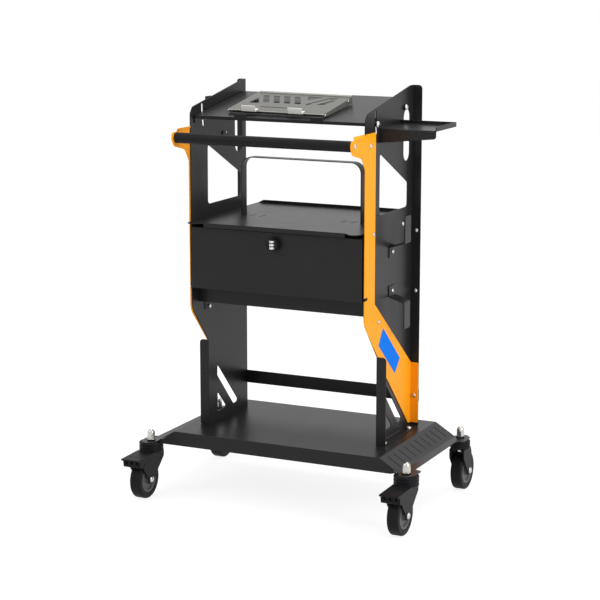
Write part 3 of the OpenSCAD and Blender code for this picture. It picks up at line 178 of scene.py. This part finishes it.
def skin_group():
    """Shared surface: a mottled roughness and a fine bumpy normal, for powder coat and mouldings."""
    group = bpy.data.node_groups.new("Fine skin", "ShaderNodeTree")
    for label, kind, default in (
            ("Roughness", "NodeSocketFloat", 0.3), ("Spread", "NodeSocketFloat", 0.05),
            ("Mottle size", "NodeSocketFloat", 30.0), ("Grain", "NodeSocketFloat", 700.0),
            ("Grain depth", "NodeSocketFloat", 0.1), ("Wave depth", "NodeSocketFloat", 0.0)):
        socket = group.interface.new_socket(label, in_out="INPUT", socket_type=kind)
        socket.default_value = default
    for label, kind in (("Roughness", "NodeSocketFloat"), ("Normal", "NodeSocketVector"),
                        ("Mottle", "NodeSocketFloat")):
        group.interface.new_socket(label, in_out="OUTPUT", socket_type=kind)
    nodes, link = group.nodes, group.links.new
    given, out = nodes.new("NodeGroupInput"), nodes.new("NodeGroupOutput")
    place = nodes.new("ShaderNodeTexCoord")
    mottle = nodes.new("ShaderNodeTexNoise")
    mottle.inputs["Detail"].default_value = 3
    link(place.outputs["Object"], mottle.inputs["Vector"])
    link(given.outputs["Mottle size"], mottle.inputs["Scale"])
    centred = nodes.new("ShaderNodeMath")
    centred.operation = "SUBTRACT"
    centred.inputs[1].default_value = 0.5
    link(mottle.outputs["Fac"], centred.inputs[0])
    spread = nodes.new("ShaderNodeMath")
    spread.operation = "MULTIPLY_ADD"
    link(centred.outputs[0], spread.inputs[0])
    link(given.outputs["Spread"], spread.inputs[1])
    link(given.outputs["Roughness"], spread.inputs[2])
    grain = nodes.new("ShaderNodeTexNoise")
    grain.inputs["Detail"].default_value = 2
    link(place.outputs["Object"], grain.inputs["Vector"])
    link(given.outputs["Grain"], grain.inputs["Scale"])
    wave = nodes.new("ShaderNodeBump")
    wave.inputs["Distance"].default_value = 0.002
    link(mottle.outputs["Fac"], wave.inputs["Height"])
    link(given.outputs["Wave depth"], wave.inputs["Strength"])
    bump = nodes.new("ShaderNodeBump")
    bump.inputs["Distance"].default_value = 0.0004
    link(grain.outputs["Fac"], bump.inputs["Height"])
    link(given.outputs["Grain depth"], bump.inputs["Strength"])
    link(wave.outputs["Normal"], bump.inputs["Normal"])
    link(spread.outputs[0], out.inputs["Roughness"])
    link(bump.outputs["Normal"], out.inputs["Normal"])
    link(mottle.outputs["Fac"], out.inputs["Mottle"])
    return group


def skinned(name, colour, shade, rough, spread=0.05, mottle=30.0, grain=700.0, depth=0.1, wave=0.0,
            metallic=0.0, specular=0.5):
    """A material on the shared skin, its colour drifting between colour and colour times shade."""
    material, tree, shader = new_material(name)
    skin = tree.nodes.new("ShaderNodeGroup")
    skin.node_tree = bpy.data.node_groups["Fine skin"]
    for label, value in (("Roughness", rough), ("Spread", spread), ("Mottle size", mottle), ("Grain", grain),
                         ("Grain depth", depth), ("Wave depth", wave)):
        skin.inputs[label].default_value = value
    drift = tree.nodes.new("ShaderNodeMix")
    drift.data_type = "RGBA"
    drift.inputs["A"].default_value = (*colour, 1)
    drift.inputs["B"].default_value = (*[c * shade for c in colour], 1)
    link = tree.links.new
    link(skin.outputs["Mottle"], drift.inputs["Factor"])
    link(drift.outputs["Result"], shader.inputs["Base Color"])
    link(skin.outputs["Roughness"], shader.inputs["Roughness"])
    link(skin.outputs["Normal"], shader.inputs["Normal"])
    shader.inputs["Metallic"].default_value = metallic
    shader.inputs["Specular IOR Level"].default_value = specular
    return material


class CART_OT_finishes(bpy.types.Operator):
    """Make the powder coats, plating, rubber and plastics"""
    bl_idname = "cart.finishes"
    bl_label = "Finishes"

    def execute(self, context):
        f = context.scene.cart_finish
        skin_group()
        rough = f.coat_rough
        skinned("Black powder coat", f.black, 1.5, rough, spread=0.06, mottle=14, grain=900, depth=0.12, wave=0.02,
                specular=0.18)
        skinned("Orange powder coat", f.orange, 0.96, rough + 0.1, spread=0.06, mottle=14, grain=900, depth=0.12,
                specular=0.12)
        skinned("Grey stand coat", f.stand, 0.93, 0.42, mottle=40, grain=1200, depth=0.12, specular=0.25)
        skinned("Zinc plate", f.zinc, 0.8, 0.26, spread=0.12, mottle=260, grain=2500, depth=0.04, metallic=1)
        skinned("Pale hook plastic and painted edge highlight", f.hook, 0.97, 0.4, mottle=60, grain=1800, depth=0.1)
        skinned("Caster plastic", (0.009, 0.009, 0.01), 1.5, 0.4, mottle=60, grain=1500, depth=0.2, specular=0.07)
        skinned("Wheel core", (0.075, 0.075, 0.077), 1.2, 0.42, mottle=60, grain=1500, depth=0.2, specular=0.2)
        skinned("Grip rubber", (0.01, 0.01, 0.011), 1.4, 0.5, mottle=40, grain=1400, depth=0.2, specular=0.1)
        skinned("Tyre rubber", (0.009, 0.009, 0.01), 1.5, 0.5, spread=0.1, mottle=50, grain=1100, depth=0.2,
                specular=0.08)
        skinned("Black moulding", (0.008, 0.008, 0.009), 1.3, 0.35, mottle=80, grain=1800, depth=0.2, specular=0.15)
        skinned("White dial", (0.86, 0.86, 0.84), 0.97, 0.25, mottle=120, grain=2000, depth=0.05)
        skinned("Dial ink", (0.02, 0.02, 0.02), 1.2, 0.4, mottle=120, grain=2000, depth=0.05)
        skinned("Blue label", f.label, 0.94, 0.5, mottle=50, grain=1500, depth=0.05, specular=0.04)
        return {"FINISHED"}


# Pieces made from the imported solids

def joined_copy(node):
    """The node's mesh with its loose triangles merged and its flat faces joined."""
    mesh = bmesh.new()
    mesh.from_mesh(frame["nodes"][node].data)
    bmesh.ops.remove_doubles(mesh, verts=mesh.verts, dist=MERGE)
    bmesh.ops.dissolve_limit(
        mesh, angle_limit=math.radians(FLAT_ANGLE), verts=mesh.verts, edges=mesh.edges, use_dissolve_boundaries=False)
    return mesh


def width(face):
    """Rough width of a face: twice its area over its outline."""
    return 2 * face.calc_area() / max(sum(e.calc_length() for e in face.edges), 1e-9)


def beside_sliver(edge):
    """Whether another edge of its faces leaves one of its ends at a small angle."""
    for vert in edge.verts:
        along = edge.other_vert(vert).co - vert.co
        for other in vert.link_edges:
            if other is edge or not set(other.link_faces) & set(edge.link_faces):
                continue
            if along.angle(other.other_vert(vert).co - vert.co, 0.0) < math.radians(SLIVER_ANGLE):
                return True
    return False


def has_room(edge, radius):
    """Whether the edges of its faces that turn off at its ends are long enough for the rounding."""
    faces = set(edge.link_faces)
    for vert in edge.verts:
        along = edge.other_vert(vert).co - vert.co
        for other in vert.link_edges:
            if other is edge or not faces & set(other.link_faces):
                continue
            turn = along.angle(other.other_vert(vert).co - vert.co, 0.0)
            if turn < math.radians(CHAIN_ANGLE) and radius > NEIGHBOUR_SHARE * other.calc_length():
                return False
    return True


def rounded(piece, node, fold, edge, wide, segments):
    """Gives the piece the node's mesh with its folds and cut edges rounded, as far as the node's box allows."""
    low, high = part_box(node)
    largest = max(fold, edge)
    for share in WIDTH_SHARES:
        mesh = joined_copy(node)
        weight = mesh.edges.layers.float.new("bevel_weight_edge")
        for e in mesh.edges:
            if len(e.link_faces) != 2 or e.calc_face_angle(0) < math.radians(SHARP_ANGLE) or beside_sliver(e):
                continue
            is_fold = fold and min(width(f) for f in e.link_faces) > wide
            radius = next((r for r in ((fold, edge) if is_fold else (edge,)) if has_room(e, r)), 0)
            e[weight] = radius / max(largest, 1e-9)
        for f in mesh.faces:
            f.smooth = True
        piece.data = bpy.data.meshes.new(piece.name)
        mesh.to_mesh(piece.data)
        mesh.free()
        piece.data.set_sharp_from_angle(angle=math.radians(SHARP_ANGLE))
        if not largest * share:
            return
        rounding = piece.modifiers.new("Rounding", "BEVEL")
        rounding.width = largest * share
        rounding.segments = segments
        rounding.limit_method = "WEIGHT"
        rounding.use_clamp_overlap = False
        rounding.loop_slide = False
        rounding.harden_normals = True
        finished(piece)
        if all(low[i] - SLACK < v.co[i] < high[i] + SLACK for v in piece.data.vertices for i in range(3)):
            return


def evenly_shaded(piece):
    """Turns the smooth normals towards the larger faces, so that flats look flat."""
    shading = piece.modifiers.new("Shading", "WEIGHTED_NORMAL")
    shading.keep_sharp = True
    shading.weight = 100
    finished(piece)


def dressed(name, node, material, fold=0.0, edge=0.0, wide=1.0, segments=3):
    """A piece that stands for a node, with its folds and cut edges rounded."""
    piece = bpy.data.objects.new(name, bpy.data.meshes.new(name))
    bpy.context.scene.collection.objects.link(piece)
    rounded(piece, node, fold, edge, wide, segments)
    evenly_shaded(piece)
    return placed(piece, material, node)


def finished(piece):
    """Applies the piece's modifiers to its mesh."""
    graph = bpy.context.evaluated_depsgraph_get()
    data = bpy.data.meshes.new_from_object(piece.evaluated_get(graph))
    piece.modifiers.clear()
    piece.data = data
    data.name = piece.name


def placed(piece, material, node, stands_for=True):
    """Gives the piece its finish and the body it rides on."""
    piece.data.materials.clear()
    piece.data.materials.append(bpy.data.materials[material])
    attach(piece, BODY_OF[node])
    if stands_for:
        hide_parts(node)
    return piece


def painted(piece, material, chosen):
    """Gives the chosen faces a second material: a real second finish on the cap nuts, a painted highlight on the
    stand plate's edges.
    """
    piece.data.materials.append(bpy.data.materials[material])
    for face in piece.data.polygons:
        if chosen(face):
            face.material_index = 1


class CART_OT_sheets(bpy.types.Operator):
    """Round the folds and edges of the folded sheets"""
    bl_idname = "cart.sheets"
    bl_label = "Sheet steel"

    def execute(self, context):
        d = context.scene.cart_detail
        for node in SHEETS:
            dressed(node + "_sheet", node, "Black powder coat", d.fold_round, d.edge_round, d.wide_face)
        for side in ("left", "right"):
            node = side + "_cover_plate"
            dressed(node + "_sheet", node, "Orange powder coat", d.fold_round, d.edge_round, d.wide_face)
        dressed("label_film", "label_plate", "Blue label", edge=0.1 * MM, segments=2)
        return {"FINISHED"}


class CART_OT_fasteners(bpy.types.Operator):
    """Plate the screws, bolts, nuts and stems"""
    bl_idname = "cart.fasteners"
    bl_label = "Screws and nuts"

    def execute(self, context):
        for node in FASTENERS:
            piece = dressed(node + "_plated", node, "Zinc plate", edge=0.35 * MM, segments=2)
            if node == "caster_cap_nuts":
                washer_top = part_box(node)[0][2] + WASHER
                painted(piece, "Black moulding", lambda face: face.center.z < washer_top)
        for node in ("door_hinge_pins", "shelf_spacers"):
            dressed(node + "_black", node, "Black moulding", edge=0.3 * MM, segments=2)
        return {"FINISHED"}


class CART_OT_handle(bpy.types.Operator):
    """Finish the push handle, its end plugs and the cable clip"""
    bl_idname = "cart.handle"
    bl_label = "Handle"

    def execute(self, context):
        d = context.scene.cart_detail
        dressed("push_handle_grip", "push_handle", "Grip rubber", edge=1.2 * MM)
        dressed("handle_end_plugs_moulded", "handle_end_plugs", "Black moulding", edge=d.edge_round)
        dressed("left_cable_clip_moulded", "left_cable_clip", "Black moulding", edge=d.edge_round)
        return {"FINISHED"}


def numeral_tree():
    """Numerals 0 to 9 standing round a dial, its axis the tree's Z."""
    tree = bpy.data.node_groups.new("Dial numerals", "GeometryNodeTree")
    tree.interface.new_socket("Geometry", in_out="INPUT", socket_type="NodeSocketGeometry")
    for label, kind, default in (
            ("Radius", "NodeSocketFloat", 7.6 * MM), ("Height", "NodeSocketFloat", 3.2 * MM),
            ("Depth", "NodeSocketFloat", 0.25 * MM), ("Turn", "NodeSocketFloat", 0.0),
            ("Ink", "NodeSocketMaterial", None)):
        socket = tree.interface.new_socket(label, in_out="INPUT", socket_type=kind)
        if default is not None:
            socket.default_value = default
    tree.interface.new_socket("Geometry", in_out="OUTPUT", socket_type="NodeSocketGeometry")
    nodes, link = tree.nodes, tree.links.new
    given, out = nodes.new("NodeGroupInput"), nodes.new("NodeGroupOutput")
    words = nodes.new("GeometryNodeStringToCurves")
    words.align_x = "CENTER"
    words.align_y = "MIDDLE"
    words.inputs["String"].default_value = "0123456789"
    link(given.outputs["Height"], words.inputs["Size"])
    # Each numeral's foot goes below the middle, and it is turned upright about that foot. Then it goes to the
    # dial's front and round to its own tenth.
    home = nodes.new("GeometryNodeSetPosition")
    link(words.outputs["Curve Instances"], home.inputs["Geometry"])
    centre = nodes.new("ShaderNodeVectorMath")
    centre.operation = "SCALE"
    centre.inputs[0].default_value = NUMERAL_FOOT
    link(given.outputs["Height"], centre.inputs["Scale"])
    link(centre.outputs[0], home.inputs["Position"])
    upright = nodes.new("GeometryNodeRotateInstances")
    upright.inputs["Rotation"].default_value = (math.radians(90), 0, 0)
    link(home.outputs[0], upright.inputs["Instances"])
    outwards = nodes.new("GeometryNodeTranslateInstances")
    outwards.inputs["Local Space"].default_value = False
    ahead, minus = nodes.new("ShaderNodeCombineXYZ"), nodes.new("ShaderNodeMath")
    minus.operation = "MULTIPLY"
    minus.inputs[1].default_value = -1
    link(given.outputs["Radius"], minus.inputs[0])
    link(minus.outputs[0], ahead.inputs["Y"])
    link(upright.outputs[0], outwards.inputs["Instances"])
    link(ahead.outputs[0], outwards.inputs["Translation"])
    index, tenth = nodes.new("GeometryNodeInputIndex"), nodes.new("ShaderNodeMath")
    tenth.operation = "MULTIPLY_ADD"
    tenth.inputs[1].default_value = math.tau / 10
    link(index.outputs[0], tenth.inputs[0])
    link(given.outputs["Turn"], tenth.inputs[2])
    angles = nodes.new("ShaderNodeCombineXYZ")
    link(tenth.outputs[0], angles.inputs["Z"])
    around = nodes.new("GeometryNodeRotateInstances")
    around.inputs["Local Space"].default_value = False
    link(outwards.outputs[0], around.inputs["Instances"])
    link(angles.outputs[0], around.inputs["Rotation"])
    fill = nodes.new("GeometryNodeFillCurve")
    link(around.outputs[0], fill.inputs["Curve"])
    thick = nodes.new("GeometryNodeExtrudeMesh")
    thick.inputs["Individual"].default_value = False
    link(fill.outputs[0], thick.inputs["Mesh"])
    link(given.outputs["Depth"], thick.inputs["Offset Scale"])
    real = nodes.new("GeometryNodeRealizeInstances")
    link(thick.outputs["Mesh"], real.inputs[0])
    inked = nodes.new("GeometryNodeSetMaterial")
    link(real.outputs[0], inked.inputs["Geometry"])
    link(given.outputs["Ink"], inked.inputs["Material"])
    link(inked.outputs[0], out.inputs[0])
    return tree


def grown(name, tree, material, node, offset, **values):
    """A piece grown by a node tree, moved to its place and set on the body of a node."""
    piece = bpy.data.objects.new(name, bpy.data.meshes.new(name))
    bpy.context.scene.collection.objects.link(piece)
    growth = piece.modifiers.new("Growth", "NODES")
    growth.node_group = tree
    sockets = {item.name: item.identifier for item in tree.interface.items_tree if item.in_out == "INPUT"}
    for label, value in values.items():
        growth[sockets[label]] = value
    finished(piece)
    piece.data.transform(Matrix.Translation(offset))
    return placed(piece, material, node, stands_for=False)


class CART_OT_lock(bpy.types.Operator):
    """Finish the combination lock and print its dials"""
    bl_idname = "cart.lock"
    bl_label = "Lock"

    def execute(self, context):
        d = context.scene.cart_detail
        tree = numeral_tree()
        dressed("lock_collar_moulded", "lock_collar", "Black moulding", edge=0.7 * MM)
        dressed("lock_knob_moulded", "lock_knob", "Black moulding", edge=d.edge_round)
        for row, tenths in DIAL_TENTHS.items():
            node = "lock_dial_" + row
            dressed(node + "_white", node, "White dial", edge=0.25 * MM, segments=2)
            low, high = (Vector(corner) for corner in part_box(node))
            grown(node + "_numerals", tree, "Dial ink", node, (low + high) / 2,
                  Radius=(high.x - low.x) / 2 - NUMERAL_SINK, Turn=tenths * math.tau / 10,
                  Ink=bpy.data.materials["Dial ink"])
        return {"FINISHED"}


class CART_OT_stand(bpy.types.Operator):
    """Finish the tablet stand on the shelf"""
    bl_idname = "cart.stand"
    bl_label = "Tablet stand"

    def execute(self, context):
        for node in ("stand_base", "stand_plate", "stand_prop"):
            piece = dressed(node + "_sheet", node, "Grey stand coat", fold=1.2 * MM, edge=0.3 * MM, wide=3 * MM)
            if node == "stand_plate":
                low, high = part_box(node)
                lip, front = high[2] - STAND_LIP, low[1] + STAND_FRONT
                # The plate's back lip and turned front edge get the pale hook colour as a painted highlight where the
                # rounded folds catch the light; they are not pale plastic
                painted(piece, "Pale hook plastic and painted edge highlight", lambda face: face.center.z > lip or (
                    face.normal.y < FACES_FRONT and face.center.y < front))
        dressed("stand_hooks_moulded", "stand_hooks", "Pale hook plastic and painted edge highlight", edge=0.35 * MM)
        return {"FINISHED"}


class CART_OT_casters(bpy.types.Operator):
    """Finish the casters and their brake pedals"""
    bl_idname = "cart.casters"
    bl_label = "Casters"

    def execute(self, context):
        d = context.scene.cart_detail
        for corner in CORNERS:
            dressed(f"fork_{corner}_moulded", f"fork_{corner}", "Caster plastic", edge=0.8 * MM)
            dressed(f"axle_{corner}_plated", f"axle_{corner}", "Zinc plate", edge=0.4 * MM, segments=2)
            dressed(f"wheel_{corner}_moulded", f"wheel_{corner}", "Wheel core", edge=d.edge_round)
            dressed(f"tyre_{corner}_rubber", f"tyre_{corner}", "Tyre rubber", edge=d.edge_round)
        for side in ("left", "right"):
            node = "brake_pedal_" + side
            dressed(node + "_moulded", node, "Caster plastic", edge=0.3 * MM, segments=2)
        return {"FINISHED"}


# Stage

def camera_axes(azimuth, elevation):
    """Directions to the right, up and back of a level camera."""
    a, e = math.radians(azimuth), math.radians(elevation)
    back = Vector((math.sin(a) * math.cos(e), -math.cos(a) * math.cos(e), math.sin(e)))
    right = Vector((math.cos(a), math.sin(a), 0))
    return right, back.cross(right), back


def add_camera(stage):
    """The camera at the photograph's place."""
    right, up, back = camera_axes(stage.azimuth, stage.elevation)
    camera = bpy.data.objects.new("Camera", bpy.data.cameras.new("Camera"))
    camera.data.sensor_width = SENSOR
    camera.data.lens = stage.lens
    camera.data.clip_end = 100
    turn = Matrix((right, up, back)).transposed().to_4x4()
    camera.matrix_world = Matrix.Translation(Vector(LOOKS_AT) + back * stage.distance) @ turn
    bpy.context.scene.collection.objects.link(camera)
    bpy.context.scene.camera = camera


def add_lamp(name, place, aim, size, watts):
    """A square soft lamp that faces a point."""
    lamp = bpy.data.lights.new(name, "AREA")
    lamp.shape = "RECTANGLE"
    lamp.size, lamp.size_y = size
    lamp.energy = watts
    thing = bpy.data.objects.new(name, lamp)
    thing.location = place
    thing.rotation_euler = (Vector(aim) - Vector(place)).to_track_quat("-Z", "Y").to_euler()
    bpy.context.scene.collection.objects.link(thing)


def seen_or_mirrored(tree):
    """1 where the ray comes from the camera, a mirror or glass."""
    path = tree.nodes.new("ShaderNodeLightPath")
    total = path.outputs["Is Camera Ray"]
    for kind in ("Is Glossy Ray", "Is Transmission Ray"):
        most = tree.nodes.new("ShaderNodeMath")
        most.operation = "MAXIMUM"
        tree.links.new(total, most.inputs[0])
        tree.links.new(path.outputs[kind], most.inputs[1])
        total = most.outputs[0]
    return total


def add_world(strength):
    """Even light, with a white background where it is seen."""
    world = bpy.data.worlds.new("Studio")
    world.use_nodes = True
    tree = world.node_tree
    light = tree.nodes["Background"]
    light.inputs["Strength"].default_value = strength
    light.inputs["Color"].default_value = (1, 1, 1, 1)
    seen = tree.nodes.new("ShaderNodeBackground")
    seen.inputs["Strength"].default_value = 1
    seen.inputs["Color"].default_value = (1, 1, 1, 1)
    mix = tree.nodes.new("ShaderNodeMixShader")
    tree.links.new(seen_or_mirrored(tree), mix.inputs["Fac"])
    tree.links.new(light.outputs[0], mix.inputs[1])
    tree.links.new(seen.outputs[0], mix.inputs[2])
    tree.links.new(mix.outputs[0], tree.nodes["World Output"].inputs["Surface"])
    bpy.context.scene.world = world


def add_floor():
    """A pale floor that keeps a soft shadow."""
    data = bpy.data.meshes.new("Floor")
    r = FLOOR_REACH
    data.from_pydata([(-r, -r, 0), (r, -r, 0), (r, r, 0), (-r, r, 0)], [], [(0, 1, 2, 3)])
    floor = bpy.data.objects.new("Floor", data)
    bpy.context.scene.collection.objects.link(floor)
    material, tree, shader = new_material("Pale floor")
    shader.inputs["Base Color"].default_value = (0.93, 0.93, 0.93, 1)
    shader.inputs["Roughness"].default_value = 0.8
    shader.inputs["Specular IOR Level"].default_value = 0.1
    glow = tree.nodes.new("ShaderNodeEmission")
    glow.inputs["Strength"].default_value = FLOOR_GLOW
    share = tree.nodes.new("ShaderNodeMath")
    share.operation = "MULTIPLY"
    share.inputs[1].default_value = FLOOR_GLOW_SHARE
    mix = tree.nodes.new("ShaderNodeMixShader")
    tree.links.new(seen_or_mirrored(tree), share.inputs[0])
    tree.links.new(share.outputs[0], mix.inputs["Fac"])
    tree.links.new(shader.outputs[0], mix.inputs[1])
    tree.links.new(glow.outputs[0], mix.inputs[2])
    tree.links.new(mix.outputs[0], tree.nodes["Material Output"].inputs["Surface"])
    data.materials.append(material)


class CART_OT_stage(bpy.types.Operator):
    """Set the floor, the soft lamps and the camera"""
    bl_idname = "cart.stage"
    bl_label = "Stage"

    def execute(self, context):
        stage = context.scene.cart_stage
        context.scene.view_settings.view_transform = "Standard"
        add_camera(stage)
        add_world(stage.sky)
        add_floor()
        for name, (place, aim, size, watts) in LAMPS.items():
            add_lamp(name, place, aim, size, watts * stage.lamps)
        return {"FINISHED"}


# Panel and registration

OPERATORS = (
    CART_OT_finishes, CART_OT_sheets, CART_OT_fasteners, CART_OT_handle, CART_OT_lock, CART_OT_stand,
    CART_OT_casters, CART_OT_stage)


class CART_PT_panel(bpy.types.Panel):
    """Sizes, colours and steps of the tool cart"""
    bl_label = "Tool cart"
    bl_idname = "CART_PT_panel"
    bl_space_type = "VIEW_3D"
    bl_region_type = "UI"
    bl_category = "Tool cart"

    def draw(self, context):
        for group in (context.scene.cart_finish, context.scene.cart_detail, context.scene.cart_stage):
            for name in group.__annotations__:
                self.layout.prop(group, name)
        for operator in OPERATORS:
            self.layout.operator(operator.bl_idname)


CLASSES = (CartFinish, CartDetail, CartStage, *OPERATORS, CART_PT_panel)


def register():
    for cls in CLASSES:
        bpy.utils.register_class(cls)
    bpy.types.Scene.cart_finish = bpy.props.PointerProperty(type=CartFinish)
    bpy.types.Scene.cart_detail = bpy.props.PointerProperty(type=CartDetail)
    bpy.types.Scene.cart_stage = bpy.props.PointerProperty(type=CartStage)


def unregister():
    del bpy.types.Scene.cart_finish, bpy.types.Scene.cart_detail, bpy.types.Scene.cart_stage
    for cls in reversed(CLASSES):
        bpy.utils.unregister_class(cls)


def main():
    register()
    bpy.ops.cart.finishes()
    bpy.ops.cart.sheets()
    bpy.ops.cart.fasteners()
    bpy.ops.cart.handle()
    bpy.ops.cart.lock()
    bpy.ops.cart.stand()
    bpy.ops.cart.casters()
    bpy.ops.cart.stage()


if __name__ == "__main__":
    main()
